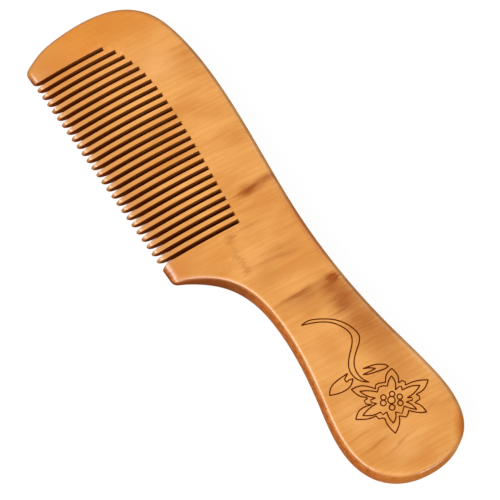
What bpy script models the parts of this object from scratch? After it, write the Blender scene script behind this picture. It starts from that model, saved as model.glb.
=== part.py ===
"""A one-piece wooden comb with a handle, for Blender 4.5.

The comb lies on its back. X runs along the row of teeth from the head to the handle,
Y from the tooth tips to the spine, and Z out of the face. The outline is drawn with
X = 0 at the first slot and Y = 0 near the roots of the longest slots, and the finished
comb is moved so that its origin is at the bottom centre of its box. Units are metres.
"""

import math

import bmesh
import bpy
import numpy as np

MM = 0.001

# Row of teeth
TOOTH_COUNT = 25
TOOTH_WIDTH = 1.48 * MM
SLOT_WIDTH = 1.32 * MM

# Reach of the teeth below Y = 0 at the row's two ends
HEAD_REACH = 34.8 * MM
NECK_REACH = 27.2 * MM

# Roots of the slots: how far they pass Y = 0 at the neck, how far below that they start at
# the head, the run over which they rise, and how much shorter still the first slot is
ROOT_RISE = 0.25 * MM
ROOT_DIP = 11.0 * MM
ROOT_EASE = 11.7 * MM
FIRST_SLOT_DIP = 1.0 * MM

# Ends of the teeth, and the corner of the neck's guard beside them
NOSE_LENGTH = 2.4 * MM
TIP_FLAT = 0.4 * MM
GUARD_NOSE_LENGTH = 3.4 * MM
GUARD_NOSE_DEPTH = 1.6 * MM
TIP_CLEARANCE = 1.5 * MM

# Body, outward from the row of teeth
HEAD_LENGTH = 11.0 * MM
BACK_HEIGHT = 17.2 * MM
GUARD_WIDTH = 7.8 * MM
NECK_LENGTH = 36.9 * MM
NECK_DROP = 4.0 * MM
GRIP_LENGTH = 49.4 * MM
GRIP_WIDTH = 37.3 * MM
GRIP_DROP = 5.9 * MM

# Thickness of the board, which thins toward the tips on both faces
THICKNESS = 10.0 * MM
TIP_THICKNESS = 2.3 * MM
TAPER_LENGTH = 28.0 * MM
EDGE_RADIUS = 2.2 * MM

# Fineness of the facets, and the gap below which two cut points are one
FACET_LENGTH = 3.0 * MM
MERGE_GAP = 0.001 * MM
EDGE_STEPS = 3
NOSE_STEPS = 3

# Worked out from the sizes above
ROW_LENGTH = TOOTH_COUNT * TOOTH_WIDTH + (TOOTH_COUNT + 1) * SLOT_WIDTH
GRIP_START = ROW_LENGTH + GUARD_WIDTH + NECK_LENGTH
NOSE_DEPTH = (TOOTH_WIDTH - TIP_FLAT) / 2

# Curve of the taper, the most of a thin edge that is rounded, and the rows of facets that
# follow the curve
TAPER_EXPONENT = 2.0
EDGE_SHARE = 0.46
TAPER_ROW_SHARES = (0.05, 0.11, 0.18, 0.27, 0.39, 0.57, 1.0)

QUARTER_TURN = math.pi / 2
SHARP_ANGLE = math.radians(40)

# Outline of the guard beside the neck: shares of GUARD_WIDTH and of NECK_REACH
GUARD_END_SHARE = 0.59
GUARD_SHARES = ((0.84, 0.963), (1.0, 0.882))
# Neck: shares of NECK_LENGTH and of the climb from NECK_REACH to NECK_DROP
NECK_SHARES = ((0.060, 0.353), (0.173, 0.612), (0.363, 0.832), (0.634, 0.957), (1.0, 1.0))
# Grip, from below round its end to the top: shares of GRIP_LENGTH and GRIP_WIDTH
GRIP_SHARES = (
    (0.283, 0.029), (0.536, 0.0), (0.739, 0.034), (0.881, 0.139), (0.968, 0.303), (1.0, 0.515),
    (0.974, 0.745), (0.870, 0.933), (0.678, 1.0), (0.435, 0.952), (0.040, 0.807),
)
# Top of the neck: shares of the way from the row to the grip, and of BACK_HEIGHT
SHOULDER_SHARES = ((0.597, 1.163), (0.150, 1.032))
# Spine over the teeth: shares of ROW_LENGTH and BACK_HEIGHT
SPINE_SHARES = ((0.813, 1.0), (0.533, 0.981), (0.280, 0.898), (0.084, 0.727))
# Head above the root line: shares of HEAD_LENGTH and BACK_HEIGHT
BROW_SHARES = ((0.318, 0.465), (0.809, 0.058))
# Head below the root line: shares of HEAD_LENGTH and HEAD_REACH
CHEEK_SHARES = ((1.0, 0.290), (0.940, 0.594), (0.766, 0.841), (0.560, 0.962), (0.455, 1.0))
CHEEK_END_SHARE = 0.355

WOOD_COLOUR = (0.72, 0.36, 0.11, 1.0)
WOOD_ROUGHNESS = 0.32


def clear_scene():
    for old in list(bpy.data.objects):
        bpy.data.objects.remove(old, do_unlink=True)


def tip_line(x):
    """Y of the line through the tooth tips."""
    return -HEAD_REACH + (HEAD_REACH - NECK_REACH) * x / ROW_LENGTH


def root_of(number):
    """Y of the closed end of a slot, by its number from the head."""
    x = number * (TOOTH_WIDTH + SLOT_WIDTH) + SLOT_WIDTH
    root = ROOT_RISE - ROOT_DIP * math.exp(-x / ROOT_EASE)
    return root - FIRST_SLOT_DIP if number == 0 else root


def outline_anchors():
    """Points of the outline, from the guard at the neck round to the tip of the head."""
    guard_end = ROW_LENGTH + GUARD_WIDTH * GUARD_END_SHARE
    anchors = [(guard_end, tip_line(guard_end))]
    for across, down in GUARD_SHARES:
        anchors.append((ROW_LENGTH + GUARD_WIDTH * across, -NECK_REACH * down))
    for along, up in NECK_SHARES:
        x = ROW_LENGTH + GUARD_WIDTH + NECK_LENGTH * along
        anchors.append((x, -NECK_REACH + (NECK_REACH - NECK_DROP) * up))
    for along, up in GRIP_SHARES:
        anchors.append((GRIP_START + GRIP_LENGTH * along, GRIP_WIDTH * up - GRIP_DROP))
    for along, up in SHOULDER_SHARES:
        anchors.append((ROW_LENGTH + (GRIP_START - ROW_LENGTH) * along, BACK_HEIGHT * up))
    for along, up in SPINE_SHARES:
        anchors.append((ROW_LENGTH * along, BACK_HEIGHT * up))
    for along, up in BROW_SHARES:
        anchors.append((-HEAD_LENGTH * along, BACK_HEIGHT * up))
    for along, down in CHEEK_SHARES:
        anchors.append((-HEAD_LENGTH * along, -HEAD_REACH * down))
    head_end = -HEAD_LENGTH * CHEEK_END_SHARE
    anchors.append((head_end, tip_line(head_end)))
    return np.array(anchors)


def smooth_path(anchors, step):
    """Points at most a step apart on the cubic spline through the anchors."""
    spans = np.diff(anchors, axis=0)
    chords = np.linalg.norm(spans, axis=1)
    count = len(anchors)
    system = np.zeros((count, count))
    target = np.zeros((count, 2))
    system[0, :2] = (2, 1)
    target[0] = 3 * spans[0] / chords[0]
    system[-1, -2:] = (1, 2)
    target[-1] = 3 * spans[-1] / chords[-1]
    for i in range(1, count - 1):
        before, after = chords[i - 1], chords[i]
        system[i, i - 1:i + 2] = (after, 2 * (before + after), before)
        target[i] = 3 * (before * spans[i] / after + after * spans[i - 1] / before)
    slopes = np.linalg.solve(system, target)
    path = []
    for i, chord in enumerate(chords):
        pieces = max(2, math.ceil(chord / step))
        for t in np.arange(pieces) / pieces:
            point = anchors[i] + (3 * t**2 - 2 * t**3) * spans[i]
            point = point + (t**3 - 2 * t**2 + t) * chord * slopes[i]
            path.append(point + (t**3 - t**2) * chord * slopes[i + 1])
    path.append(anchors[-1])
    return np.array(path)


def outward_normals(loop):
    """Unit normals of a closed counterclockwise loop, at its points."""
    along = np.roll(loop, -1, axis=0) - loop
    along /= np.linalg.norm(along, axis=1)[:, None]
    mean = along + np.roll(along, 1, axis=0)
    mean /= np.linalg.norm(mean, axis=1)[:, None]
    return np.column_stack([mean[:, 1], -mean[:, 0]])


def thickness_at(x, y):
    """Thickness of the board, by the distance from the line of the tips."""
    guard_end = ROW_LENGTH + GUARD_WIDTH * GUARD_END_SHARE
    run = ROW_LENGTH
    rise = HEAD_REACH - NECK_REACH
    span = math.hypot(run, rise)
    dx = x - guard_end
    dy = y - tip_line(guard_end)
    past_end = (dx * run + dy * rise) / span
    distance = abs(dy * run - dx * rise) / span
    if past_end > 0:
        distance = math.hypot(dx, dy)
    thin = max(0, 1 - distance / TAPER_LENGTH)
    return THICKNESS - (THICKNESS - TIP_THICKNESS) * thin**TAPER_EXPONENT


def edge_ring(mesh, loop, normals, side, angle):
    """One ring of the rounded edge, at an angle up the quarter circle."""
    ring = []
    for (x, y), (nx, ny) in zip(loop, normals):
        radius = min(EDGE_RADIUS, EDGE_SHARE * thickness_at(x, y))
        inset = radius * (1 - math.cos(angle))
        x, y = x - nx * inset, y - ny * inset
        height = thickness_at(x, y) / 2 - radius * (1 - math.sin(angle))
        ring.append(mesh.verts.new((x, y, THICKNESS / 2 + side * height)))
    return ring


def bridge(mesh, lower, upper):
    """Quads between two rings of the same length, facing out."""
    for i in range(len(lower)):
        j = (i + 1) % len(lower)
        mesh.faces.new((lower[i], lower[j], upper[j], upper[i]))


def cap(mesh, ring, side):
    """The face inside a ring, cut in rows along the teeth so that it can thin toward them."""
    face = mesh.faces.new(ring if side > 0 else ring[::-1])
    patch = [face] + list(face.edges) + list(face.verts)
    slope = (HEAD_REACH - NECK_REACH) / ROW_LENGTH
    for share in TAPER_ROW_SHARES:
        above_tips = TAPER_LENGTH * share * math.hypot(1, slope)
        cut = bmesh.ops.bisect_plane(
            mesh, geom=patch, dist=MERGE_GAP, plane_co=(0, tip_line(0) + above_tips, 0),
            plane_no=(-slope, 1, 0))
        patch = cut["geom"]
    faces = [piece for piece in patch if isinstance(piece, bmesh.types.BMFace)]
    done = bmesh.ops.triangulate(mesh, faces=faces)
    for vert in {vert for piece in done["faces"] for vert in piece.verts}:
        vert.co.z = THICKNESS / 2 + side * thickness_at(vert.co.x, vert.co.y) / 2


def board_mesh():
    """The comb before its slots are sawn: a rounded board that thins toward the tips."""
    loop = smooth_path(outline_anchors(), FACET_LENGTH)
    normals = outward_normals(loop)
    angles = [QUARTER_TURN * i / EDGE_STEPS for i in range(EDGE_STEPS + 1)]
    board = bmesh.new()
    rings = [edge_ring(board, loop, normals, -1, angle) for angle in reversed(angles)]
    rings += [edge_ring(board, loop, normals, 1, angle) for angle in angles]
    for lower, upper in zip(rings, rings[1:]):
        bridge(board, lower, upper)
    cap(board, rings[0], -1)
    cap(board, rings[-1], 1)
    return board


def slot_side(x, root, outward, depth, length):
    """Points down one side of a slot, which flares by a depth over a length at the tips."""
    tip = tip_line(x)
    points = [(x, root)]
    for i in range(NOSE_STEPS + 1):
        angle = QUARTER_TURN * i / NOSE_STEPS
        flare = depth * (1 - math.cos(angle))
        points.append((x + outward * flare, tip + length * (1 - math.sin(angle))))
    points.append((x + outward * depth, tip - TIP_CLEARANCE))
    return points


def slots_mesh():
    """One prism for each slot, from its square root out past the tips."""
    slots = bmesh.new()
    for number in range(TOOTH_COUNT + 1):
        x = number * (TOOTH_WIDTH + SLOT_WIDTH)
        root = root_of(number)
        nose = (NOSE_DEPTH, NOSE_LENGTH)
        right_nose = (GUARD_NOSE_DEPTH, GUARD_NOSE_LENGTH) if number == TOOTH_COUNT else nose
        left = slot_side(x, root, -1, *nose)
        right = slot_side(x + SLOT_WIDTH, root, 1, *right_nose)
        plan = left + right[::-1]
        low = [slots.verts.new((px, py, -TIP_CLEARANCE)) for px, py in plan]
        high = [slots.verts.new((px, py, THICKNESS + TIP_CLEARANCE)) for px, py in plan]
        bridge(slots, low, high)
        slots.faces.new(low[::-1])
        slots.faces.new(high)
    return slots


def add_object(name, mesh):
    """Link a bmesh to the scene as a named object."""
    bmesh.ops.recalc_face_normals(mesh, faces=mesh.faces)
    data = bpy.data.meshes.new(name)
    mesh.to_mesh(data)
    mesh.free()
    placed = bpy.data.objects.new(name, data)
    bpy.context.collection.objects.link(placed)
    return placed


def stand_on_origin(comb, cutter):
    """Move both meshes so that the bottom centre of the comb's box is the origin."""
    corners = np.array([vert.co for vert in comb.data.vertices])
    middle = (corners.min(axis=0) + corners.max(axis=0)) / 2
    for placed in (comb, cutter):
        for vert in placed.data.vertices:
            vert.co.x -= middle[0]
            vert.co.y -= middle[1]


def wood():
    """Clear-lacquered orange-brown fruit wood."""
    finish = bpy.data.materials.new("lacquered_wood")
    finish.use_nodes = True
    shader = finish.node_tree.nodes["Principled BSDF"]
    shader.inputs["Base Color"].default_value = WOOD_COLOUR
    shader.inputs["Roughness"].default_value = WOOD_ROUGHNESS
    shader.inputs["Metallic"].default_value = 0
    return finish


def build_comb():
    comb = add_object("comb_body", board_mesh())
    slots = add_object("slot_cutter", slots_mesh())
    slots.hide_render = True
    slots.display_type = "WIRE"
    stand_on_origin(comb, slots)
    sawn = comb.modifiers.new("sawn_slots", "BOOLEAN")
    sawn.operation = "DIFFERENCE"
    sawn.solver = "EXACT"
    sawn.object = slots
    comb.data.materials.append(wood())
    comb.data.shade_smooth()
    comb.data.set_sharp_from_angle(angle=SHARP_ANGLE)


clear_scene()
build_comb()
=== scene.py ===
"""The looks of the one-piece wooden comb, for Blender 4.5.

The comb's outline, slots and engraving are drawn in millimetres, in the part's frame: X along
the row of teeth towards the grip, Y from the tips to the spine, Z out of the engraved face.
One flat triangulation holds every line of the drawing, and a height at each of its points
rounds the rims, thins the board towards the tips and sinks the engraved lines.
"""

import math

import bpy
import numpy as np
from mathutils import Matrix, Vector
from mathutils.geometry import delaunay_2d_cdt


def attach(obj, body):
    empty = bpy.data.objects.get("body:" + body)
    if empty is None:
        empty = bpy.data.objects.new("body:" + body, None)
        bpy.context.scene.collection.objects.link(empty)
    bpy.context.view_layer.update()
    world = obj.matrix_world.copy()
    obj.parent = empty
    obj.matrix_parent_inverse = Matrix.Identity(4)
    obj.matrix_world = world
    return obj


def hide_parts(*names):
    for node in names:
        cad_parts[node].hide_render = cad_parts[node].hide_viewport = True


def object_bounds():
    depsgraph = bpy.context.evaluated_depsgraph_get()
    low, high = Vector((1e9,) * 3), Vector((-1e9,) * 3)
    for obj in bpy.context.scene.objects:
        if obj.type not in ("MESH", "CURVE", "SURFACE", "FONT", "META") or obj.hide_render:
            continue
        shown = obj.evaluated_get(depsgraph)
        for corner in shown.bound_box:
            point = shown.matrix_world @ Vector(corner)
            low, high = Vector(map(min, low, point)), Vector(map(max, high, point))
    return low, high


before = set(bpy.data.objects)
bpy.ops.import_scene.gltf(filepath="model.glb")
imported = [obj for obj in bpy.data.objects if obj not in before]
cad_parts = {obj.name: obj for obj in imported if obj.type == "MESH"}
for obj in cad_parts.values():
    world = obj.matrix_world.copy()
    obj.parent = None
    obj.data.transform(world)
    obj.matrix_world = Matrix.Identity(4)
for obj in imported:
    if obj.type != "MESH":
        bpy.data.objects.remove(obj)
CAD_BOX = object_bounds()

MM = 0.001

# Row of teeth
TOOTH_COUNT = 25
TOOTH_WIDTH = 1.48
SLOT_WIDTH = 1.32
PITCH = TOOTH_WIDTH + SLOT_WIDTH
ROW_LENGTH = TOOTH_COUNT * TOOTH_WIDTH + (TOOTH_COUNT + 1) * SLOT_WIDTH
HEAD_REACH = 34.8
NECK_REACH = 27.2

# Closed ends of the slots, which dip towards the head, and open ends, which flare round the teeth
ROOT_RISE = 0.25
ROOT_DIP = 11.0
ROOT_EASE = 11.7
FIRST_SLOT_DIP = 1.0
NOSE_LENGTH = 2.4
TIP_FLAT = 0.4
NOSE_DEPTH = (TOOTH_WIDTH - TIP_FLAT) / 2
GUARD_NOSE_LENGTH = 3.4
GUARD_NOSE_DEPTH = 1.6
TIP_CLEARANCE = 1.5

# Body, outward from the row of teeth
HEAD_LENGTH = 11.0
BACK_HEIGHT = 17.2
GUARD_WIDTH = 7.8
NECK_LENGTH = 36.9
NECK_DROP = 4.0
GRIP_LENGTH = 49.4
GRIP_WIDTH = 37.3
GRIP_DROP = 5.9
GRIP_START = ROW_LENGTH + GUARD_WIDTH + NECK_LENGTH

# Thickness, and the rounding of the rims and of the sawn edges
THICKNESS = 10.0
TIP_THICKNESS = 2.3
TAPER_LENGTH = 28.0
TAPER_EXPONENT = 2.0
EDGE_RADIUS = 2.2
EDGE_SHARE = 0.46
REACH_SHARE = 0.6
GUARD_REACH = 3.5
GUARD_REACH_SPREAD = 7.0
SAWN_RADIUS = 0.16
NOSE_RADIUS = 0.55
NOSE_SOFTENING = 4.0
SAWN_HEIGHT_SHARE = 0.85
LEAST_LEVEL = 0.03

# Shares of the sizes above that shape the outline, as in the solid
GUARD_END_SHARE = 0.59
GUARD_SHARES = ((0.84, 0.963), (1.0, 0.882))
NECK_SHARES = ((0.060, 0.353), (0.173, 0.612), (0.363, 0.832), (0.634, 0.957), (1.0, 1.0))
GRIP_SHARES = (
    (0.283, 0.029), (0.536, 0.0), (0.739, 0.034), (0.881, 0.139), (0.968, 0.303), (1.0, 0.515),
    (0.974, 0.745), (0.870, 0.933), (0.678, 1.0), (0.435, 0.952), (0.040, 0.807),
)
SHOULDER_SHARES = ((0.597, 1.163), (0.150, 1.032))
SPINE_SHARES = ((0.813, 1.0), (0.533, 0.981), (0.280, 0.898), (0.084, 0.727))
BROW_SHARES = ((0.318, 0.465), (0.809, 0.058))
CHEEK_SHARES = ((1.0, 0.290), (0.940, 0.594), (0.766, 0.841), (0.560, 0.962), (0.455, 1.0))
CHEEK_END_SHARE = 0.355

# Fineness of the mesh
OUTLINE_STEP = 0.8
TIP_STEP = 0.35
RIM_STEPS = 14
SAWN_STEPS = 4
NOSE_STEPS = 9
TAPER_ROWS = 20
TAPER_CROWDING = 1.5
PROBE = 0.01
FILL_STEP = 1.5
FILL_CLEARANCE = 0.6
RING_TOLERANCE = 0.97
CUT_TOLERANCE = 0.00001
SAWN_TOLERANCE = 0.0001
BATCH = 2000

# Engraved lines
GROOVE_WIDTH = 0.42
GROOVE_DEPTH = 0.22
STROKE_STEP = 0.5

QUARTER_TURN = math.pi / 2

# Places of the materials on the mesh
WOOD, ENGRAVED, SAWN = range(3)

# Engraving, in the part's frame: the two sides of the stem, the leaves and the flower
STEM_OUTER = (
    (31.5, 3.1), (31.2, 5.5), (31.9, 7.9), (33.1, 10.4), (36.4, 14.5), (40.0, 16.5),
    (42.2, 16.9), (45.6, 14.5), (49.0, 11.5), (51.0, 10.8), (54.8, 11.4), (56.4, 12.5),
)
STEM_INNER = (
    (31.5, 3.1), (32.6, 7.0), (35.4, 11.9), (38.2, 14.0), (41.2, 14.8), (43.7, 13.7),
    (46.6, 11.2), (50.2, 9.2), (52.3, 9.2), (54.4, 10.1), (56.4, 12.5),
)
LEFT_LEAF = (
    ((54.4, 0.2), (53.0, 1.1), (51.4, 4.9), (51.0, 8.2)),
    ((51.0, 8.2), (51.8, 7.0), (52.2, 6.5), (53.2, 6.6)),
    ((53.2, 6.6), (53.0, 7.6), (53.2, 8.8)),
    ((53.2, 8.8), (54.6, 7.4), (55.3, 4.5), (54.4, 0.2)),
)
RIGHT_LEAF = (
    ((51.9, 12.9), (52.2, 15.1), (52.7, 17.2), (53.3, 18.4), (54.1, 19.5), (54.85, 19.95)),
    ((54.85, 19.95), (55.0, 19.1), (54.85, 17.3), (54.45, 15.0), (54.0, 13.1), (53.5, 12.0)),
    ((53.5, 12.0), (53.6, 14.3), (53.65, 16.3)),
    ((53.65, 16.3), (52.75, 15.0), (52.3, 14.0), (51.9, 12.9)),
)
FLOWER_CENTRE = (64.3, 15.7)
# Each petal: bearing and distance of a foot, the swell of that side, the tip, the other swell
# and the other foot. The teeth are the small points between one petal and the next.
OUTER_PETALS = (
    ((169, 5.7), (160, 8.2), (150, 9.7), (135, 7.4), (129, 5.7)),
    ((109, 6.2), (102, 8.7), (91, 12.7), (81, 10.4), (75, 7.6)),
    ((55, 7.0), (52, 8.6), (42.5, 11.0), (37.5, 9.2), (30, 6.0)),
    ((-3.5, 5.3), (-9, 7.0), (-22.5, 10.1), (-40, 7.3), (-48.5, 6.0)),
    ((-72, 6.7), (-79, 9.0), (-89.5, 12.2), (-99, 10.3), (-105, 6.1)),
    ((-124.5, 7.4), (-125.5, 9.4), (-133.5, 12.3), (-143, 10.2), (-154.5, 5.8)),
)
OUTER_TEETH = (
    ((123, 6.8), (114, 7.0)),
    ((70, 8.4), (63, 8.4), (60, 7.7)),
    ((19, 6.5), (11, 6.7), (5, 5.9)),
    ((-55, 6.1), (-62.5, 6.9)),
    ((-109, 7.7), (-117, 8.1), (-122, 7.1)),
    ((-162, 6.5), (-171, 6.4), (-181, 5.9)),
)
INNER_PETALS = (
    ((166, 4.4), (159, 5.9), (150.5, 7.4), (139, 5.6), (129.5, 3.3)),
    ((105, 4.5), (98, 7.0), (89.5, 9.7), (80, 7.3), (70.5, 4.8)),
    ((54, 4.4), (49, 6.2), (41, 8.0), (38, 6.2), (35.5, 4.2)),
    ((-11, 3.8), (-15, 5.4), (-24.5, 7.0), (-37, 5.4), (-50, 3.9)),
    ((-70, 4.9), (-79, 7.3), (-89.5, 9.8), (-97, 7.2), (-105, 4.5)),
    ((-125.5, 4.8), (-128, 7.3), (-134, 9.8), (-141, 7.3), (-149, 4.8)),
)
INNER_TEETH = (
    ((122.5, 4.7), (116, 5.2)),
    ((69, 6.2), (62, 6.3)),
    ((9, 5.1),),
    ((-59, 5.2),),
    ((-110, 5.8), (-118, 6.3)),
    ((-164.5, 5.4), (-178, 5.0)),
)
# Seeds: bearing and distance from the flower's centre, and radius
SEEDS = (
    (0, 0, 1.1), (144, 1.85, 0.8), (84, 2.7, 0.8), (43, 2.8, 0.8), (-24, 2.25, 0.85), (-98, 2.6, 0.85),
    (-137, 2.5, 0.8),
)
SEED_SIDES = 24


def tip_line(x):
    """Y of the line through the tooth tips."""
    return -HEAD_REACH + (HEAD_REACH - NECK_REACH) * x / ROW_LENGTH


def root_of(number):
    """Y of the closed end of a slot, by its number from the head."""
    x = number * PITCH + SLOT_WIDTH
    root = ROOT_RISE - ROOT_DIP * math.exp(-x / ROOT_EASE)
    return root - FIRST_SLOT_DIP if number == 0 else root


def outline_anchors():
    """Points of the outline, from the guard at the neck round to the tip of the head."""
    guard_end = ROW_LENGTH + GUARD_WIDTH * GUARD_END_SHARE
    anchors = [(guard_end, tip_line(guard_end))]
    for across, down in GUARD_SHARES:
        anchors.append((ROW_LENGTH + GUARD_WIDTH * across, -NECK_REACH * down))
    for along, up in NECK_SHARES:
        x = ROW_LENGTH + GUARD_WIDTH + NECK_LENGTH * along
        anchors.append((x, -NECK_REACH + (NECK_REACH - NECK_DROP) * up))
    for along, up in GRIP_SHARES:
        anchors.append((GRIP_START + GRIP_LENGTH * along, GRIP_WIDTH * up - GRIP_DROP))
    for along, up in SHOULDER_SHARES:
        anchors.append((ROW_LENGTH + (GRIP_START - ROW_LENGTH) * along, BACK_HEIGHT * up))
    for along, up in SPINE_SHARES:
        anchors.append((ROW_LENGTH * along, BACK_HEIGHT * up))
    for along, up in BROW_SHARES:
        anchors.append((-HEAD_LENGTH * along, BACK_HEIGHT * up))
    for along, down in CHEEK_SHARES:
        anchors.append((-HEAD_LENGTH * along, -HEAD_REACH * down))
    head_end = -HEAD_LENGTH * CHEEK_END_SHARE
    anchors.append((head_end, tip_line(head_end)))
    return np.array(anchors)


def smooth_path(anchors, step):
    """Points at most a step apart on the cubic spline through the anchors."""
    anchors = np.array(anchors, float)
    spans = np.diff(anchors, axis=0)
    chords = np.linalg.norm(spans, axis=1)
    count = len(anchors)
    system = np.zeros((count, count))
    target = np.zeros((count, 2))
    system[0, :2] = (2, 1)
    target[0] = 3 * spans[0] / chords[0]
    system[-1, -2:] = (1, 2)
    target[-1] = 3 * spans[-1] / chords[-1]
    for i in range(1, count - 1):
        before, after = chords[i - 1], chords[i]
        system[i, i - 1:i + 2] = (after, 2 * (before + after), before)
        target[i] = 3 * (before * spans[i] / after + after * spans[i - 1] / before)
    slopes = np.linalg.solve(system, target)
    path = []
    for i, chord in enumerate(chords):
        pieces = max(2, math.ceil(chord / step))
        for t in np.arange(pieces) / pieces:
            point = anchors[i] + (3 * t**2 - 2 * t**3) * spans[i]
            point = point + (t**3 - 2 * t**2 + t) * chord * slopes[i]
            path.append(point + (t**3 - t**2) * chord * slopes[i + 1])
    path.append(anchors[-1])
    return np.array(path)


def board_outline():
    """The closed outline, counterclockwise, with the line of the tips cut fine as well."""
    loop = smooth_path(outline_anchors(), OUTLINE_STEP)
    start, end = loop[-1], loop[0]
    pieces = math.ceil(np.linalg.norm(end - start) / TIP_STEP)
    tips = [start + (end - start) * i / pieces for i in range(1, pieces)]
    return np.vstack([loop, tips])


def outline_middle():
    """The middle of the outline, where the part's frame has its origin."""
    loop = board_outline()
    return (loop.min(axis=0) + loop.max(axis=0)) / 2


def loop_normals(loop):
    """Unit normals of a closed counterclockwise loop, pointing out, at its points."""
    along = np.roll(loop, -1, axis=0) - loop
    along /= np.linalg.norm(along, axis=1)[:, None]
    mean = along + np.roll(along, 1, axis=0)
    mean /= np.linalg.norm(mean, axis=1)[:, None]
    return np.column_stack([mean[:, 1], -mean[:, 0]])


def tip_distance(points):
    """Distance from the line of the tips, and past its end from the corner of the guard."""
    guard_end = ROW_LENGTH + GUARD_WIDTH * GUARD_END_SHARE
    rise = HEAD_REACH - NECK_REACH
    span = math.hypot(ROW_LENGTH, rise)
    dx = points[:, 0] - guard_end
    dy = points[:, 1] - tip_line(guard_end)
    past_end = (dx * ROW_LENGTH + dy * rise) / span
    to_line = np.abs(dy * ROW_LENGTH - dx * rise) / span
    return np.where(past_end > 0, np.hypot(dx, dy), to_line)


def thickness(points):
    """Thickness of the board before its rims are rounded."""
    thin = np.clip(1 - tip_distance(points) / TAPER_LENGTH, 0, 1)
    return THICKNESS - (THICKNESS - TIP_THICKNESS) * thin**TAPER_EXPONENT


def rim_drop(points):
    """How far a rounded rim falls below its face."""
    return np.minimum(EDGE_RADIUS, EDGE_SHARE * thickness(points))


def rim_reach(points):
    """How far a rounded rim reaches inward, which is further at the end of the neck's guard."""
    end_x = ROW_LENGTH + GUARD_WIDTH * GUARD_END_SHARE / 2
    away = np.hypot(points[:, 0] - end_x, points[:, 1] - tip_line(end_x))
    near = np.clip(1 - away / GUARD_REACH_SPREAD, 0, 1)
    reach = np.minimum(EDGE_RADIUS, REACH_SHARE * thickness(points))
    return reach + (GUARD_REACH - reach) * near


def sawn_radius(points):
    """Radius of the softened edge of a slot, which grows round the ends of the teeth."""
    near = np.clip(1 - tip_distance(points) / NOSE_SOFTENING, 0, 1)
    return SAWN_RADIUS + (NOSE_RADIUS - SAWN_RADIUS) * near**2


def thickness_slope(points):
    """Slope of the face where the board thins, which is half on either face."""
    slope = np.empty_like(points)
    for axis, step in enumerate(np.eye(2) * PROBE):
        rise = (thickness(points + step) - thickness(points - step)) / 2
        slope[:, axis] = rise / (2 * PROBE)
    return slope


class Border:
    """The segments of some paths, with the normals at the ends of each segment."""

    def __init__(self, paths, normals):
        self.starts = np.vstack([path[:-1] for path in paths])
        self.spans = np.vstack([np.diff(path, axis=0) for path in paths])
        self.normals = np.vstack([normal[:-1] for normal in normals])
        self.next_normals = np.vstack([normal[1:] for normal in normals])

    def nearest(self, points):
        """Distance of each point to the nearest segment, and the normal at that place."""
        lengths = np.maximum((self.spans**2).sum(axis=1), CUT_TOLERANCE**2)
        distances = np.empty(len(points))
        normals = np.empty((len(points), 2))
        for low in range(0, len(points), BATCH):
            away = points[low:low + BATCH, None, :] - self.starts[None]
            share = np.clip((away * self.spans).sum(axis=2) / lengths, 0, 1)
            gap = ((away - share[..., None] * self.spans) ** 2).sum(axis=2)
            best = gap.argmin(axis=1)
            rows = np.arange(len(best))
            part = share[rows, best, None]
            distances[low:low + BATCH] = np.sqrt(gap[rows, best])
            normals[low:low + BATCH] = (1 - part) * self.normals[best] + part * self.next_normals[best]
        return distances, normals

    def distance(self, points):
        """Distance of each point to the nearest segment."""
        return self.nearest(points)[0]


def closed_border(loops):
    """The border of some closed loops."""
    paths = [np.vstack([loop, loop[:1]]) for loop in loops]
    turns = [loop_normals(loop) for loop in loops]
    return Border(paths, [np.vstack([turn, turn[:1]]) for turn in turns])


def inside(points, loop):
    """Which points lie inside a closed loop."""
    x, y = points[:, 0], points[:, 1]
    found = np.zeros(len(points), bool)
    for (x0, y0), (x1, y1) in zip(loop, np.roll(loop, -1, axis=0)):
        if y0 != y1:
            crosses = (y0 > y) != (y1 > y)
            found ^= crosses & (x < (x1 - x0) * (y - y0) / (y1 - y0) + x0)
    return found


def slot_side(x, root, outward, depth, length):
    """One side of a slot from its root to past the tips, where it flares round the teeth."""
    tip = tip_line(x)
    points = [(x, root)]
    for i in range(NOSE_STEPS + 1):
        angle = QUARTER_TURN * i / NOSE_STEPS
        flare = depth * (1 - math.cos(angle))
        points.append((x + outward * flare, tip + length * (1 - math.sin(angle))))
    points.append((x + outward * depth, tip - TIP_CLEARANCE))
    return points


def slot_loops():
    """Each slot as a closed counterclockwise loop."""
    loops = []
    for number in range(TOOTH_COUNT + 1):
        x = number * PITCH
        root = root_of(number)
        nose = (NOSE_DEPTH, NOSE_LENGTH)
        right_nose = (GUARD_NOSE_DEPTH, GUARD_NOSE_LENGTH) if number == TOOTH_COUNT else nose
        left = slot_side(x, root, -1, *nose)
        right = slot_side(x + SLOT_WIDTH, root, 1, *right_nose)
        loops.append(np.array(left + right[::-1]))
    return loops


def polar(centre, bearing, distance):
    """The point at a bearing in degrees and a distance from a centre."""
    angle = math.radians(bearing)
    return centre[0] + distance * math.cos(angle), centre[1] + distance * math.sin(angle)


def flower_outline(petals, teeth):
    """Strokes round the flower: two curved sides to each petal, then the small teeth."""
    strokes = []
    for i, petal in enumerate(petals):
        left_foot, left_swell, tip, right_swell, right_foot = [
            polar(FLOWER_CENTRE, *point) for point in petal]
        between = [polar(FLOWER_CENTRE, *point) for point in teeth[i]]
        next_foot = polar(FLOWER_CENTRE, *petals[(i + 1) % len(petals)][0])
        strokes.append(smooth_path((left_foot, left_swell, tip), STROKE_STEP))
        strokes.append(smooth_path((tip, right_swell, right_foot), STROKE_STEP))
        strokes.append(np.array([right_foot] + between + [next_foot]))
    return strokes


def seed_rings():
    """The round seeds in the middle of the flower."""
    rings = []
    for bearing, distance, radius in SEEDS:
        middle = polar(FLOWER_CENTRE, bearing, distance)
        turns = np.arange(SEED_SIDES + 1) * 360 / SEED_SIDES
        rings.append(np.array([polar(middle, turn, radius) for turn in turns]))
    return rings


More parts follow.
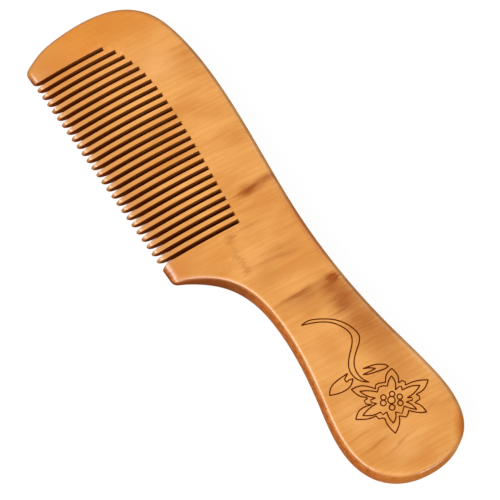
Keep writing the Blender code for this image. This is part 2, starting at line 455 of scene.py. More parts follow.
def engraved_strokes():
    """Every engraved line as an open path."""
    strokes = [smooth_path(STEM_OUTER, STROKE_STEP), smooth_path(STEM_INNER, STROKE_STEP)]
    strokes += [smooth_path(side, STROKE_STEP) for side in LEFT_LEAF + RIGHT_LEAF]
    strokes += flower_outline(OUTER_PETALS, OUTER_TEETH)
    strokes += flower_outline(INNER_PETALS, INNER_TEETH)
    return strokes + seed_rings()


def path_normals(path):
    """Unit normals at the points of an open path, to its left."""
    along = np.gradient(path, axis=0)
    along /= np.linalg.norm(along, axis=1)[:, None]
    return np.column_stack([-along[:, 1], along[:, 0]])


class Drawing:
    """Points and lines that the triangulation keeps."""

    def __init__(self):
        self.points = []
        self.lines = []

    def add(self, path, keep=None, closed=False):
        """Add a path, without the points that keep leaves out."""
        first = len(self.points)
        self.points += [tuple(point) for point in path]
        count = len(path)
        kept = np.ones(count, bool) if keep is None else keep
        for i in range(count if closed else count - 1):
            j = (i + 1) % count
            if kept[i] and kept[j]:
                self.lines.append((first + i, first + j))


def add_rims(drawing, loop, outline):
    """Rings inside the outline, closer together where the rim is steeper."""
    normals = loop_normals(loop)
    reach = rim_reach(loop)
    for i in range(1, RIM_STEPS + 1):
        inset = reach * (1 - math.cos(QUARTER_TURN * i / RIM_STEPS))
        ring = loop - normals * inset[:, None]
        true_ring = outline.distance(ring) > RING_TOLERANCE * inset
        drawing.add(ring, keep=true_ring, closed=True)


def add_slots(drawing, loops, slots):
    """The slots and the rings of their softened edges."""
    for loop in loops:
        drawing.add(loop, closed=True)
        normals = loop_normals(loop)
        radius = sawn_radius(loop)
        for i in range(1, SAWN_STEPS + 1):
            inset = radius * (1 - math.cos(QUARTER_TURN * i / SAWN_STEPS))
            ring = loop + normals * inset[:, None]
            true_ring = slots.distance(ring) > RING_TOLERANCE * inset
            drawing.add(ring, keep=true_ring, closed=True)


def add_taper(drawing):
    """Rows along the teeth, and round the corner of the guard, for the thinning board."""
    guard_end = ROW_LENGTH + GUARD_WIDTH * GUARD_END_SHARE
    corner = np.array([guard_end, tip_line(guard_end)])
    along = np.array([ROW_LENGTH, HEAD_REACH - NECK_REACH])
    along /= np.linalg.norm(along)
    across = np.array([-along[1], along[0]])
    start = corner - along * (guard_end + HEAD_LENGTH)
    for i in range(1, TAPER_ROWS + 1):
        distance = TAPER_LENGTH * (i / TAPER_ROWS) ** TAPER_CROWDING
        turns = np.linspace(QUARTER_TURN, -QUARTER_TURN, 2 * TAPER_ROWS)
        arc = [corner + distance * (math.sin(turn) * across + math.cos(turn) * along) for turn in turns]
        drawing.add(np.vstack([[start + across * distance], arc]))


def add_fill(drawing, loop, outline, slots, grooves):
    """Loose points over the plain wood, so that no triangle there is long and thin."""
    low, high = loop.min(axis=0), loop.max(axis=0)
    columns = np.arange(low[0], high[0], FILL_STEP)
    rows = np.arange(low[1], high[1], FILL_STEP)
    points = np.array([(x, y + FILL_STEP / 2 * (i % 2)) for i, x in enumerate(columns) for y in rows])
    clear = inside(points, loop) & (outline.distance(points) > EDGE_RADIUS + FILL_CLEARANCE)
    clear &= slots.distance(points) > TOOTH_WIDTH
    clear &= grooves.distance(points) > GROOVE_WIDTH + FILL_CLEARANCE
    drawing.points += [tuple(point) for point in points[clear]]


def add_engraving(drawing, strokes):
    """Both edges and the bottom of each engraved line."""
    for stroke in strokes:
        side = path_normals(stroke) * GROOVE_WIDTH / 2
        for shift in (-1, 0, 1):
            drawing.add(stroke + side * shift)


def quarter_round(distance, reach):
    """How far a rounded edge lies under its face, as a share of its drop, and its steepness."""
    left = np.clip(1 - distance / reach, 0, 1)
    level = np.sqrt(1 - left**2)
    return 1 - level, left / np.maximum(level, LEAST_LEVEL)


def face_shape(points, outline, slots):
    """Height of the face over the board's middle plane, and its slope."""
    drop, reach = rim_drop(points), rim_reach(points)
    distance, outward = outline.nearest(points)
    depth, steepness = quarter_round(distance, reach)
    height = thickness(points) / 2 - drop * depth
    slope = thickness_slope(points) - (steepness * drop / reach)[:, None] * outward
    sawn = sawn_radius(points)
    drop = np.minimum(sawn, SAWN_HEIGHT_SHARE * height)
    distance, inward = slots.nearest(points)
    depth, steepness = quarter_round(distance, sawn)
    slope += (steepness * drop / sawn)[:, None] * inward
    return height - drop * depth, slope


def triangulated_board():
    """The flat points, the triangles of wood among them, and the shape of the board there."""
    loop = board_outline()
    outline = closed_border([loop])
    loops = slot_loops()
    slots = closed_border(loops)
    middle = outline_middle()
    strokes = [stroke + middle for stroke in engraved_strokes()]
    drawing = Drawing()
    drawing.add(loop, closed=True)
    add_rims(drawing, loop, outline)
    add_slots(drawing, loops, slots)
    add_taper(drawing)
    add_engraving(drawing, strokes)
    grooves = Border(strokes, [path_normals(stroke) for stroke in strokes])
    add_fill(drawing, loop, outline, slots, grooves)
    spots = [Vector(point) for point in drawing.points]
    made = delaunay_2d_cdt(spots, drawing.lines, [], 0, CUT_TOLERANCE)
    points = np.array([tuple(point) for point in made[0]])
    faces = np.array([face for face in made[2]])
    centres = points[faces].mean(axis=1)
    wood = inside(centres, loop)
    for slot in loops:
        wood &= ~inside(centres, slot)
    faces = faces[wood]
    centres = centres[wood]
    used, faces = np.unique(faces, return_inverse=True)
    faces = faces.reshape(-1, 3)
    points = points[used]
    height, slope = face_shape(points, outline, slots)
    return {
        "points": points - middle,
        "faces": faces,
        "height": height,
        "slope": slope,
        "outward": outline.nearest(points)[1],
        "depth": GROOVE_DEPTH * np.clip(1 - 2 * grooves.distance(points) / GROOVE_WIDTH, 0, 1),
        "engraved": grooves.distance(centres) < GROOVE_WIDTH / 2,
        "sawn": slots.distance(points) < SAWN_TOLERANCE,
    }


def unit(vectors):
    """The vectors brought to a length of 1."""
    return vectors / np.linalg.norm(vectors, axis=-1, keepdims=True)


def corner_normals(mesh, board, walls, finish):
    """A normal for each corner: true to the curved faces and rims, flat where wood is cut."""
    slope, faces, count = board["slope"], board["faces"], len(board["points"])
    up = np.ones((count, 1))
    face = unit(np.hstack([-slope, up]))[faces]
    back = unit(np.hstack([-slope, -up]))[faces[:, ::-1]]
    level = unit(np.hstack([board["outward"], 0 * up]))
    wall = level[np.array(walls) % count]
    flat = np.empty(len(mesh.polygons) * 3, np.float32)
    mesh.polygons.foreach_get("normal", flat)
    flat = flat.reshape(-1, 1, 3)
    cut = finish != WOOD
    engraved, sawn = cut[:len(faces)], cut[2 * len(faces):]
    face[engraved] = flat[:len(faces)][engraved]
    wall[sawn] = flat[2 * len(faces):][sawn]
    return np.vstack([corners.reshape(-1, 3) for corners in (face, back, wall)])


def comb_mesh():
    """The closed mesh: the engraved face, the plain back and the walls between them."""
    board = triangulated_board()
    low, high = np.array(CAD_BOX)[:, :2] / MM
    points = np.clip(board["points"], low, high)
    faces, height, sawn = board["faces"], board["height"], board["sawn"]
    count = len(points)
    face = np.column_stack([points, THICKNESS / 2 + height - board["depth"]])
    back = np.column_stack([points, THICKNESS / 2 - height])
    ways = np.vstack([faces[:, [0, 1]], faces[:, [1, 2]], faces[:, [2, 0]]])
    known = {(int(a), int(b)) for a, b in ways}
    walls = sorted((b, a, a + count, b + count) for a, b in known if (b, a) not in known)
    polygons = [tuple(map(int, triangle)) for triangle in faces]
    polygons += [tuple(int(i) + count for i in triangle[::-1]) for triangle in faces]
    mesh = bpy.data.meshes.new("comb_wood")
    mesh.from_pydata((np.vstack([face, back]) * MM).tolist(), [], polygons + walls)
    finish = np.full(len(mesh.polygons), WOOD)
    finish[:len(faces)][board["engraved"]] = ENGRAVED
    finish[2 * len(faces):] = [SAWN if sawn[b] and sawn[a] else WOOD for b, a, _, _ in walls]
    mesh.polygons.foreach_set("material_index", finish.astype(np.int32))
    mesh.update()
    mesh.normals_split_custom_set(corner_normals(mesh, board, walls, finish).tolist())
    return mesh


# Colours in sRGB, 0 to 255
PALE_WOOD = (238, 173, 98)
DEEP_WOOD = (207, 131, 56)
HEAD_WOOD = (212, 127, 43)
# Painted shade on the teeth where the board thins
TAPER_PAINTED_SHADE = (203, 137, 68)
# Painted highlight on the ends of the teeth
TIP_PAINTED_HIGHLIGHT = (255, 212, 164)
# Paler wood, partly painted sheen and highlight on the grip, the head's back and the spine's rim
PALE_AND_SHEEN = (246, 184, 118)
# Deeper wood, partly painted shade on the neck's guard and along the spine's edge
DEEP_AND_SHADE = (202, 116, 40)
# Brown of the walls and rims: partly end grain, partly painted shade
END_GRAIN_AND_SHADE = (184, 104, 42)
END_STREAK = (152, 74, 22)
# Painted shade in the neck's hollow
HOLLOW_PAINTED_SHADE = (112, 48, 14)
DARK_FIGURE = (146, 60, 2)
PORE_BROWN = (182, 102, 38)
BURNT = (94, 27, 0)
SAWN_TOP = (188, 121, 46)
# Painted shade deep in the slots
SAWN_PAINTED_SHADE = (143, 64, 9)

# Grain: how fast it varies across, along and through the board, in waves per millimetre
FIBRE = (2.4, 0.10, 0.8)
STREAK = (0.85, 0.04, 0.3)
PORE = (4.5, 0.5, 2.0)
MOTTLE = (0.10, 0.05, 0.10)
WARP = (0.16, 0.16, 0.16)
FINGER = (0.9, 0.05, 0.3)
END_WAVES = (0.5, 0.5, 0.9)
RIPPLE = (0.30, 0.30, 0.30)
FINE_DETAIL = 3.0
PLAIN_DETAIL = 2.0
COARSE_DETAIL = 1.0

# Surface of the wood, of its cuts and of the lacquer, whose ripples have their height in metres
WOOD_ROUGHNESS = 0.5
CUT_ROUGHNESS = 0.7
COAT_ROUGHNESS = 0.2
COAT_IOR = 1.5
BUMP_HEIGHT = 0.0000015

# Marks in the wood: X, Y, half width, half length, lean from the Y axis in degrees, strength
FIGURE = (
    (-13.9, 8.8, 2.5, 5.2, 10, 0.74), (-14.6, 13.5, 2.1, 5.6, 4, 0.56), (-14.8, 18.0, 2.3, 4.4, 0, 0.58),
    (-14.2, 11.0, 3.4, 9.0, 6, 0.20), (-3.8, 4.5, 1.0, 9.0, 2, 0.32), (-2.8, -3.0, 2.6, 2.6, 0, 0.42),
    (5.0, -3.3, 8.0, 1.5, 0, 0.28), (8.6, -3.0, 2.0, 2.8, 0, 0.28), (8.9, 7.0, 1.3, 12.0, -4, 0.38),
    (6.9, 9.0, 3.0, 9.0, -4, 0.18), (13.0, 0.5, 7.0, 6.5, 0, 0.16), (22.3, 7.5, 1.4, 12.0, 3, 0.55),
    (26.5, 9.5, 6.5, 10.0, 5, 0.28), (22.7, 18.9, 2.5, 3.3, 0, 0.92), (23.4, 16.8, 4.0, 5.5, 0, 0.50),
    (23.8, 7.5, 2.5, 13.0, 0, 0.42), (31.9, 16.9, 2.4, 3.6, 0, 0.25),
    (27.5, 18.5, 6.0, 8.0, 0, 0.68), (33.0, 19.0, 6.5, 9.0, 0, 0.64), (39.5, 20.5, 6.5, 10.0, 0, 0.66),
    (46.0, 22.0, 7.0, 10.0, 0, 0.44), (53.0, 22.5, 7.0, 10.0, 0, 0.28), (60.0, 23.5, 6.5, 9.0, 0, 0.20),
    (73.9, 5.5, 0.8, 8.0, 9, 0.40), (76.8, 11.5, 0.8, 7.5, 14, 0.38), (69.5, 2.0, 0.7, 8.0, 8, 0.28),
    (71.5, 25.0, 0.8, 6.5, 10, 0.30), (62.5, 1.0, 0.8, 9.0, 6, 0.26), (-60.0, 14.0, 5.0, 7.0, 0, 0.10),
    # The last mark is painted shade on the rounded end of the neck's guard
    (-2.2, -25.6, 5.6, 2.6, 6, 0.85),
)
FIGURE_MOST = 1.0
WARP_REACH = 0.9
FINGER_REACH = 3.5

# Broad patches written like the marks: paler wood and painted sheen, deeper wood and painted shade
PALE_AND_SHEEN_PATCHES = (
    (-63.5, 3.5, 10.0, 11.0, 0, 0.50), (45.0, 3.0, 17.0, 10.0, 0, 0.15), (62.0, 6.0, 14.0, 10.0, 0, 0.25),
    (78.0, 12.0, 9.0, 9.0, 0, 0.30), (55.0, 29.7, 16.0, 3.0, 15, 0.70), (8.0, 0.0, 12.0, 14.0, 0, 0.12),
)
DEEP_AND_SHADE_PATCHES = (
    (-78.0, -27.0, 9.0, 12.0, 0, 0.38), (-81.0, -8.0, 6.0, 14.0, 8, 0.10), (3.5, 14.5, 6.0, 8.0, 0, 0.20),
    (77.0, 27.0, 10.0, 9.0, 0, 0.25), (-76.5, 5.0, 7.0, 6.0, 0, 0.20), (66.0, -1.0, 8.0, 6.0, 0, 0.15),
    (3.0, -6.0, 8.0, 7.0, 0, 0.15), (40.0, 6.0, 14.0, 8.0, 0, 0.15), (-1.5, -22.0, 8.0, 8.0, 0, 0.60),
    (8.0, -12.0, 7.0, 6.0, 0, 0.30), (42.0, 8.0, 9.0, 6.0, 0, 0.20), (5.0, 19.9, 20.0, 3.2, 5, 1.20),
    (81.0, 30.5, 9.0, 3.4, -29, 1.00), (84.5, 14.0, 4.0, 10.0, 0, 0.45),
)

# The two ends of the row of teeth in the part's frame
ROW_START = -outline_middle()[0]
ROW_END = ROW_START + ROW_LENGTH
ROW_FADE = 1.0

# Eases of the looks: the value where each starts, where it ends, and the shares there. A tone is
# a share of another colour, here and there painted light or shade, a paleness a share of the walls'
# deeper brown and painted shade that a place leaves out, and a gloss a share of the lacquer's shine.

# By noise, from 0 to 1
BROAD_TONE = (0.3, 0.7, 0.0, 0.48)
STREAK_TONE = (0.3, 0.7, 0.02, 0.27)
FINE_TONE = (0.3, 0.7, 0.04, 0.2)
PORE_TONE = (0.6, 0.76, 0.0, 0.25)
FRAYING = (0.25, 0.75, 0.7, 1.1)
END_TONE = (0.35, 0.65, 0.0, 1.0)
BURNT_TONE = (0.3, 0.7, 0.0, 0.35)
SAWN_TONE = (0.3, 0.7, 0.7, 1.0)

# By X in the part's frame: the head and its dull rim, painted light on the butt's wall, and painted shade
# in the neck's hollow
DULL_START = -78.6
DULL_END = -81.0
HEAD_TONE = (-68.0, -80.0, 0.0, 0.6)
HEAD_PALENESS = (DULL_START, DULL_END, 0.0, 0.6)
HEAD_GLOSS = (DULL_END, DULL_START, 0.35, 1.0)
BUTT_PAINTED_LIGHT = (80.0, 87.0, 0.0, 0.4)
HOLLOW_SHADE_TONE = (24.0, 6.0, 0.0, 0.86)

# By height over the line of the tooth tips: painted shade on the thinning teeth, a painted highlight at
# their ends, and less of the walls' painted shade there
TAPER_SHADE_TONE = (22.0, 0.0, 0.0, 0.95)
TIP_HIGHLIGHT_TONE = (4.0, 0.8, 0.0, 0.18)
TIP_PALENESS = (6.0, 1.0, 0.0, 0.35)

# By how far the surface faces up or down, from 0 on a side wall to 1 on a face
# The walls' brown over walls and rims: partly end grain, partly painted shade
WALL_GRAIN_AND_SHADE = (0.97, 0.6, 0.0, 0.95)
RIM_PALENESS = (0.05, 0.4, 0.0, 1.0)
FACE_GLOSS = (0.95, 0.99, 1.0, 0.2)

# By how far it faces the spine's side, from 0 to 1
# Less of the walls' painted shade on the rims that face the spine
SPINE_PALENESS = (0.1, 0.5, 0.0, 0.8)
SPINE_GLOSS = (0.1, 0.5, 1.0, 0.35)

# The rim's gloss: where it starts, by the mark at the guard's end, then where it ends, and its shares
RIM_GLOSS_START = (0.0, 0.6, 0.5, 0.74)
RIM_GLOSS_END = (0.87, 0.03, 1.0)

# By distance from the board's middle plane: painted light and shade on the slots' walls
SLOT_PAINTED_LIGHT = (1.0, 4.5, 0.0, 1.0)

# Marks at the end of the neck's guard: where the lacquer is thin at the edge, and a dull place inside
THIN_GUARD = (-2.2, -25.2, 6.5, 4.5, 6, 1.0)
DULL_GUARD = (-5.0, -26.4, 3.4, 3.0, 0, 0.6)


def linear(colour):
    """Linear colour of an sRGB one written in 0 to 255."""
    shares = [value / 255 for value in colour]
    return tuple(((s + 0.055) / 1.055) ** 2.4 if s > 0.04045 else s / 12.92 for s in shares) + (1.0,)


class Shading:
    """The nodes of one material or of the world, with the place in millimetres and where it faces."""

    def __init__(self, owner):
        self.owner = owner
        owner.use_nodes = True
        self.tree = owner.node_tree
        self.shader = self.tree.nodes.get("Principled BSDF")
        coordinates = self.tree.nodes.new("ShaderNodeTexCoord").outputs
        self.place = self.vector("SCALE", coordinates["Object"], scale=1 / MM)
        self.facing = coordinates["Normal"]

    def plug(self, socket, value):
        """Link a socket to another one, or set its value."""
        if isinstance(value, bpy.types.NodeSocket):
            self.tree.links.new(value, socket)
        else:
            socket.default_value = value

    def finish(self, values):
        """Set sockets of the surface shader by their names, and give the material."""
        for name, value in values.items():
            self.plug(self.shader.inputs[name], value)
        return self.owner

    def number(self, operation, *values):
        """The result of one operation on numbers."""
        made = self.tree.nodes.new("ShaderNodeMath")
        made.operation = operation
        for socket, value in zip(made.inputs, values):
            self.plug(socket, value)
        return made.outputs["Value"]

    def vector(self, operation, *values, scale=None):
        """The result of one operation on vectors, which is a number for a length or a dot product."""
        made = self.tree.nodes.new("ShaderNodeVectorMath")
        made.operation = operation
        for socket, value in zip(made.inputs, values):
            self.plug(socket, value)
        if scale is not None:
            self.plug(made.inputs["Scale"], scale)
        return made.outputs["Value" if operation in ("LENGTH", "DOT_PRODUCT") else "Vector"]

    def axis(self, vector, name):
        """One part of a vector, by its letter."""
        made = self.tree.nodes.new("ShaderNodeSeparateXYZ")
        self.plug(made.inputs["Vector"], vector)
        return made.outputs[name]

    def noise(self, place, waves, detail=PLAIN_DETAIL):
        """Noise with so many waves per millimetre along each axis."""
        made = self.tree.nodes.new("ShaderNodeTexNoise")
        self.plug(made.inputs["Vector"], self.vector("MULTIPLY", place, waves))
        made.inputs["Scale"].default_value = 1.0
        made.inputs["Detail"].default_value = detail
        return made.outputs["Fac"]

    def ease(self, value, start, end, low=0.0, high=1.0):
        """A smooth step from low at start to high at end."""
        made = self.tree.nodes.new("ShaderNodeMapRange")
        made.interpolation_type = "SMOOTHSTEP"
        for socket, given in zip(made.inputs, (value, start, end, low, high)):
            self.plug(socket, given)
        return made.outputs["Result"]

    def mix(self, share, first, second):
        """Two colours mixed, by the share of the second."""
        made = self.tree.nodes.new("ShaderNodeMix")
        made.data_type = "RGBA"
        sockets = [socket for socket in made.inputs if socket.enabled]
        for socket, value in zip(sockets, (share, first, second)):
            self.plug(socket, value)
        return [socket for socket in made.outputs if socket.enabled][0]

    def bump(self, height, distance):
        """A normal that follows small heights, a distance in metres from lowest to highest."""
        made = self.tree.nodes.new("ShaderNodeBump")
        made.inputs["Distance"].default_value = distance
        self.plug(made.inputs["Height"], height)
        return made.outputs["Normal"]

    def mark(self, place, x, y, half_width, half_length, lean, strength):
        """A soft oval mark, drawn out along the grain."""
        away = self.vector("SUBTRACT", place, (x, y, 0))
        turn = self.tree.nodes.new("ShaderNodeVectorRotate")
        turn.rotation_type = "Z_AXIS"
        self.plug(turn.inputs["Vector"], away)
        turn.inputs["Angle"].default_value = -math.radians(lean)
        shrunk = self.vector("MULTIPLY", turn.outputs["Vector"], (1 / half_width, 1 / half_length, 0))
        return self.ease(self.vector("LENGTH", shrunk), 1.0, 0.0, 0.0, strength)


def centred(shading, noise, reach):
    """Noise turned into a shift of at most so far either way."""
    return shading.number("MULTIPLY", shading.number("SUBTRACT", noise, 0.5), 2 * reach)


def total(shading, place, marks):
    """Marks laid over each other at a place."""
    amount = 0.0
    for mark in marks:
        amount = shading.number("ADD", amount, shading.mark(place, *mark))
    return shading.number("MINIMUM", amount, FIGURE_MOST)


def warped(shading):
    """The place, shifted so that marks drawn there wave and fray along the grain."""
    shift = shading.tree.nodes.new("ShaderNodeCombineXYZ")
    sideways = shading.noise(shading.place, WARP)
    lengthways = shading.noise(shading.place, FINGER, detail=FINE_DETAIL)
    shading.plug(shift.inputs["X"], centred(shading, sideways, WARP_REACH))
    shading.plug(shift.inputs["Y"], centred(shading, lengthways, FINGER_REACH))
    return shading.vector("ADD", shading.place, shift.outputs["Vector"])


def past_tips(shading):
    """How far a place lies above the line of the tooth tips."""
    place = shading.vector("ADD", shading.place, (*outline_middle(), 0))
    slope = (HEAD_REACH - NECK_REACH) / ROW_LENGTH
    return shading.number("ADD", shading.vector("DOT_PRODUCT", place, (-slope, 1, 0)), HEAD_REACH)


def within_row(shading):
    """1 between the two ends of the row of teeth, else 0."""
    x = shading.axis(shading.place, "X")
    past_start = shading.ease(x, ROW_START - ROW_FADE, ROW_START)
    return shading.number("MULTIPLY", past_start, shading.ease(x, ROW_END + ROW_FADE, ROW_END))


def wall_colour_and_shade(shading):
    """Deeper brown of the side walls, partly end grain and partly painted shade, with painted light on
    the butt's wall and painted shade darkest in the neck's hollow.
    """
    x = shading.axis(shading.place, "X")
    streak = shading.ease(shading.noise(shading.place, END_WAVES, detail=FINE_DETAIL), *END_TONE)
    colour = shading.mix(streak, linear(END_GRAIN_AND_SHADE), linear(END_STREAK))
    # Painted light on the butt's wall
    colour = shading.mix(shading.ease(x, *BUTT_PAINTED_LIGHT), colour, linear(DEEP_WOOD))
    # Painted shade in the neck's hollow
    return shading.mix(shading.ease(x, *HOLLOW_SHADE_TONE), colour, linear(HOLLOW_PAINTED_SHADE))


def wood_colour(shading, upright):
    """Orange-brown fruit wood: broad tones, fibres along the teeth, pores and dark figure, and painted
    light and shade.
    """
    place = shading.place
    x = shading.axis(place, "X")
    fibre = shading.noise(place, FIBRE, detail=FINE_DETAIL)
    broad = shading.ease(shading.noise(place, MOTTLE), *BROAD_TONE)
    streak = shading.ease(shading.noise(place, STREAK), *STREAK_TONE)
    tone = shading.number("ADD", streak, shading.ease(fibre, *FINE_TONE))
    tone = shading.number("ADD", broad, tone)
    colour = shading.mix(tone, linear(DEEP_WOOD), linear(PALE_WOOD))
    colour = shading.mix(shading.ease(x, *HEAD_TONE), colour, linear(HEAD_WOOD))
    height = past_tips(shading)
    # Painted shade on the thinning teeth
    colour = shading.mix(shading.ease(height, *TAPER_SHADE_TONE), colour, linear(TAPER_PAINTED_SHADE))
    # Pale patches partly painted sheen and highlight, deep patches partly painted shade
    colour = shading.mix(total(shading, place, PALE_AND_SHEEN_PATCHES), colour, linear(PALE_AND_SHEEN))
    colour = shading.mix(total(shading, place, DEEP_AND_SHADE_PATCHES), colour, linear(DEEP_AND_SHADE))
    pore = shading.ease(shading.noise(place, PORE, detail=COARSE_DETAIL), *PORE_TONE)
    colour = shading.mix(pore, colour, linear(PORE_BROWN))
    figure = total(shading, warped(shading), FIGURE)
    frayed = shading.number("MULTIPLY", figure, shading.ease(fibre, *FRAYING))
    colour = shading.mix(frayed, colour, linear(DARK_FIGURE))
    teeth = within_row(shading)
    # Painted highlight on the ends of the teeth
    tip_highlight = shading.number("MULTIPLY", teeth, shading.ease(height, *TIP_HIGHLIGHT_TONE))
    colour = shading.mix(tip_highlight, colour, linear(TIP_PAINTED_HIGHLIGHT))
    tips = shading.number("MULTIPLY", teeth, shading.ease(height, *TIP_PALENESS))
    spine = shading.ease(shading.axis(shading.facing, "Y"), *SPINE_PALENESS)
    rim = shading.number("MAXIMUM", spine, shading.ease(x, *HEAD_PALENESS))
    rim = shading.number("MULTIPLY", rim, shading.ease(upright, *RIM_PALENESS))
    # The walls' brown, partly end grain and partly painted shade, lessened at the teeth's ends, the head
    # and the spine's rims
    wall = shading.ease(upright, *WALL_GRAIN_AND_SHADE)
    for paleness in (tips, rim):
        wall = shading.number("MULTIPLY", wall, shading.number("SUBTRACT", 1.0, paleness))
    return shading.mix(wall, colour, wall_colour_and_shade(shading))


def wood_material():
    """Wood under a clear gloss lacquer, which is fullest on the rounded rim."""
    shading = Shading(bpy.data.materials.new("lacquered_wood"))
    upright = shading.number("ABSOLUTE", shading.axis(shading.facing, "Z"))
    ripple = shading.noise(shading.place, RIPPLE)
    gloss_start = shading.ease(shading.mark(shading.place, *THIN_GUARD), *RIM_GLOSS_START)
    coat = shading.ease(upright, gloss_start, *RIM_GLOSS_END)
    face = shading.ease(upright, *FACE_GLOSS)
    head = shading.ease(shading.axis(shading.place, "X"), *HEAD_GLOSS)
    spine = shading.ease(shading.axis(shading.facing, "Y"), *SPINE_GLOSS)
    guard = shading.number("SUBTRACT", 1.0, shading.mark(shading.place, *DULL_GUARD))
    for share in (face, head, spine, guard):
        coat = shading.number("MULTIPLY", coat, share)
    return shading.finish({
        "Base Color": wood_colour(shading, upright),
        "Roughness": WOOD_ROUGHNESS,
        "Specular IOR Level": 0.0,
        "Coat Weight": coat,
        "Coat Roughness": COAT_ROUGHNESS,
        "Coat IOR": COAT_IOR,
        "Normal": shading.bump(ripple, BUMP_HEIGHT),
    })


def cut_material(shading, colour):
    """Dull wood of one colour, where the lacquer is cut through."""
    return shading.finish({"Base Color": colour, "Roughness": CUT_ROUGHNESS, "Specular IOR Level": 0.0})


def engraved_material():
    """Burnt brown wood in the engraved lines."""
    shading = Shading(bpy.data.materials.new("engraved_wood"))
    grain = shading.ease(shading.noise(shading.place, FIBRE), *BURNT_TONE)
    return cut_material(shading, shading.mix(grain, linear(BURNT), linear(DARK_FIGURE)))


def sawn_material():
    """The walls of the slots, with painted shade that grows the deeper they lie from either face."""
    shading = Shading(bpy.data.materials.new("sawn_wood"))
    from_middle = shading.number("SUBTRACT", shading.axis(shading.place, "Z"), THICKNESS / 2)
    light = shading.ease(shading.number("ABSOLUTE", from_middle), *SLOT_PAINTED_LIGHT)
    grain = shading.ease(shading.noise(shading.place, FIBRE), *SAWN_TONE)
    # Painted shade deep in the slots
    share = shading.number("MULTIPLY", light, grain)
    return cut_material(shading, shading.mix(share, linear(SAWN_PAINTED_SHADE), linear(SAWN_TOP)))


def add_comb():
    """The comb, in the place of the solid that it dresses."""
    comb = bpy.data.objects.new("comb_wood", comb_mesh())
    bpy.context.scene.collection.objects.link(comb)
    for material in (wood_material(), engraved_material(), sawn_material()):
        comb.data.materials.append(material)
    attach(comb, "root")
    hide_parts("comb_body")


# Camera, as fitted to the photograph's slots and outline
LOOK_AT = Vector((3.3, 0.7, 10.0)) * MM
VIEW_TILT = math.radians(16.94)
VIEW_TURN = math.radians(-28.23)
VIEW_DISTANCE = 0.641
PICTURE_SIDE = 500
PIXELS_PER_METRE = 3291
SENSOR = 36

# Studio, in metres. A light is a name, a direction, a distance, a width, a height and its watts.
LIGHTS = (
    ("key", (0.0, -0.72, 0.69), 0.8, 0.97, 0.18, 5.8),
    ("sheen", (-0.15, -0.56, 0.81), 0.8, 0.9, 0.22, 0.93),
    ("fill", (-0.30, 0.62, 0.72), 0.9, 0.5, 0.5, 2.2),
    ("low", (0.98, 0.14, 0.10), 0.8, 0.26, 0.14, 2.0),
)
ROOM_STRENGTH = 0.28
WHITE = (1.0, 1.0, 1.0, 1.0)

# Floor, in metres, and the share of it that glows where it is seen
FLOOR_SIDE = 3.0
FLOOR_DROP = 0.00002
FLOOR_COLOUR = (205, 205, 205)
FLOOR_ROUGHNESS = 0.8
FLOOR_GLOW = 0.84
GLOW_STRENGTH = 1.12

# Ground under the teeth that stays in their shadow, and the fade round it, in millimetres
SHADOW_START = 2.7
SHADOW_SIDE = 3.0
SHADOW_FADE = 0.9


def add_camera():
    """The camera that sees the comb as the photograph does."""
    data = bpy.data.cameras.new("camera")
    data.sensor_width = SENSOR
    data.lens = PIXELS_PER_METRE * VIEW_DISTANCE / PICTURE_SIDE * SENSOR
    camera = bpy.data.objects.new("camera", data)
    bpy.context.scene.collection.objects.link(camera)
    sideways = Vector((math.cos(VIEW_TURN), math.sin(VIEW_TURN), 0)) * math.sin(VIEW_TILT)
    back = sideways + Vector((0, 0, math.cos(VIEW_TILT)))
    right = Vector((-math.sin(VIEW_TURN), math.cos(VIEW_TURN), 0))
    turn = Matrix((right, back.cross(right), back)).transposed()
    camera.matrix_world = Matrix.Translation(LOOK_AT + back * VIEW_DISTANCE) @ turn.to_4x4()
    bpy.context.scene.camera = camera


def seen_rays(shading):
    """1 for rays from the camera or from a glossy or clear surface, else 0."""
    rays = shading.tree.nodes.new("ShaderNodeLightPath").outputs
    shiny = shading.number("MAXIMUM", rays["Is Glossy Ray"], rays["Is Transmission Ray"])
    return shading.number("MAXIMUM", rays["Is Camera Ray"], shiny)


def under_teeth(shading):
    """1 on the ground under the row of teeth, else 0."""
    x, y = shading.axis(shading.place, "X"), shading.axis(shading.place, "Y")
    share = shading.ease(past_tips(shading), SHADOW_START, SHADOW_START + SHADOW_FADE)
    share = shading.number("MULTIPLY", share, shading.ease(y, BACK_HEIGHT / 2, 0.0))
    start, end = ROW_START - SHADOW_SIDE, ROW_END
    share = shading.number("MULTIPLY", share, shading.ease(x, start - SHADOW_FADE, start))
    return shading.number("MULTIPLY", share, shading.ease(x, end + SHADOW_SIDE, end))


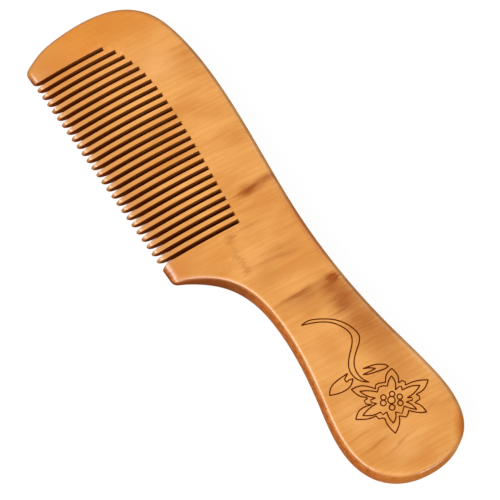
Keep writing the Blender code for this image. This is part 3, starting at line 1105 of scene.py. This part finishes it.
def floor_material():
    """A pale floor that glows where it is seen, and still takes the comb's shadow."""
    shading = Shading(bpy.data.materials.new("pale_floor"))
    material = shading.finish({
        "Base Color": linear(FLOOR_COLOUR),
        "Roughness": FLOOR_ROUGHNESS,
        "Specular IOR Level": 0.0,
    })
    glow = shading.tree.nodes.new("ShaderNodeEmission")
    glow.inputs["Strength"].default_value = GLOW_STRENGTH
    lit = shading.number("MULTIPLY", seen_rays(shading), FLOOR_GLOW)
    open_ground = shading.number("SUBTRACT", 1.0, under_teeth(shading))
    mixed = shading.tree.nodes.new("ShaderNodeMixShader")
    shading.plug(mixed.inputs["Fac"], shading.number("MULTIPLY", lit, open_ground))
    shading.plug(mixed.inputs[1], shading.shader.outputs["BSDF"])
    shading.plug(mixed.inputs[2], glow.outputs["Emission"])
    shading.plug(shading.tree.nodes["Material Output"].inputs["Surface"], mixed.outputs["Shader"])
    return material


def add_floor():
    """The floor under the comb, a hair below its back."""
    data = bpy.data.meshes.new("floor")
    half = FLOOR_SIDE / 2
    corners = [(-half, -half, 0), (half, -half, 0), (half, half, 0), (-half, half, 0)]
    data.from_pydata(corners, [], [(0, 1, 2, 3)])
    floor = bpy.data.objects.new("floor", data)
    floor.location.z = -FLOOR_DROP
    bpy.context.scene.collection.objects.link(floor)
    data.materials.append(floor_material())


def add_light(name, direction, distance, width, height, power):
    """A soft light that faces the comb."""
    data = bpy.data.lights.new(name, "AREA")
    data.shape = "RECTANGLE"
    data.size = width
    data.size_y = height
    data.energy = power
    light = bpy.data.objects.new(name, data)
    bpy.context.scene.collection.objects.link(light)
    way = Vector(direction).normalized()
    light.location = way * distance
    light.rotation_mode = "QUATERNION"
    light.rotation_quaternion = way.to_track_quat("Z", "Y")


def add_room():
    """Even white light all round, and plain white where it is seen."""
    room = bpy.data.worlds.new("studio")
    bpy.context.scene.world = room
    room.use_nodes = True
    shading = Shading(room)
    background = room.node_tree.nodes["Background"]
    background.inputs["Color"].default_value = WHITE
    strength = shading.ease(seen_rays(shading), 0.0, 1.0, ROOM_STRENGTH, 1.0)
    shading.plug(background.inputs["Strength"], strength)


add_camera()
add_comb()
add_floor()
for light in LIGHTS:
    add_light(*light)
add_room()
bpy.context.scene.view_settings.view_transform = "Standard"
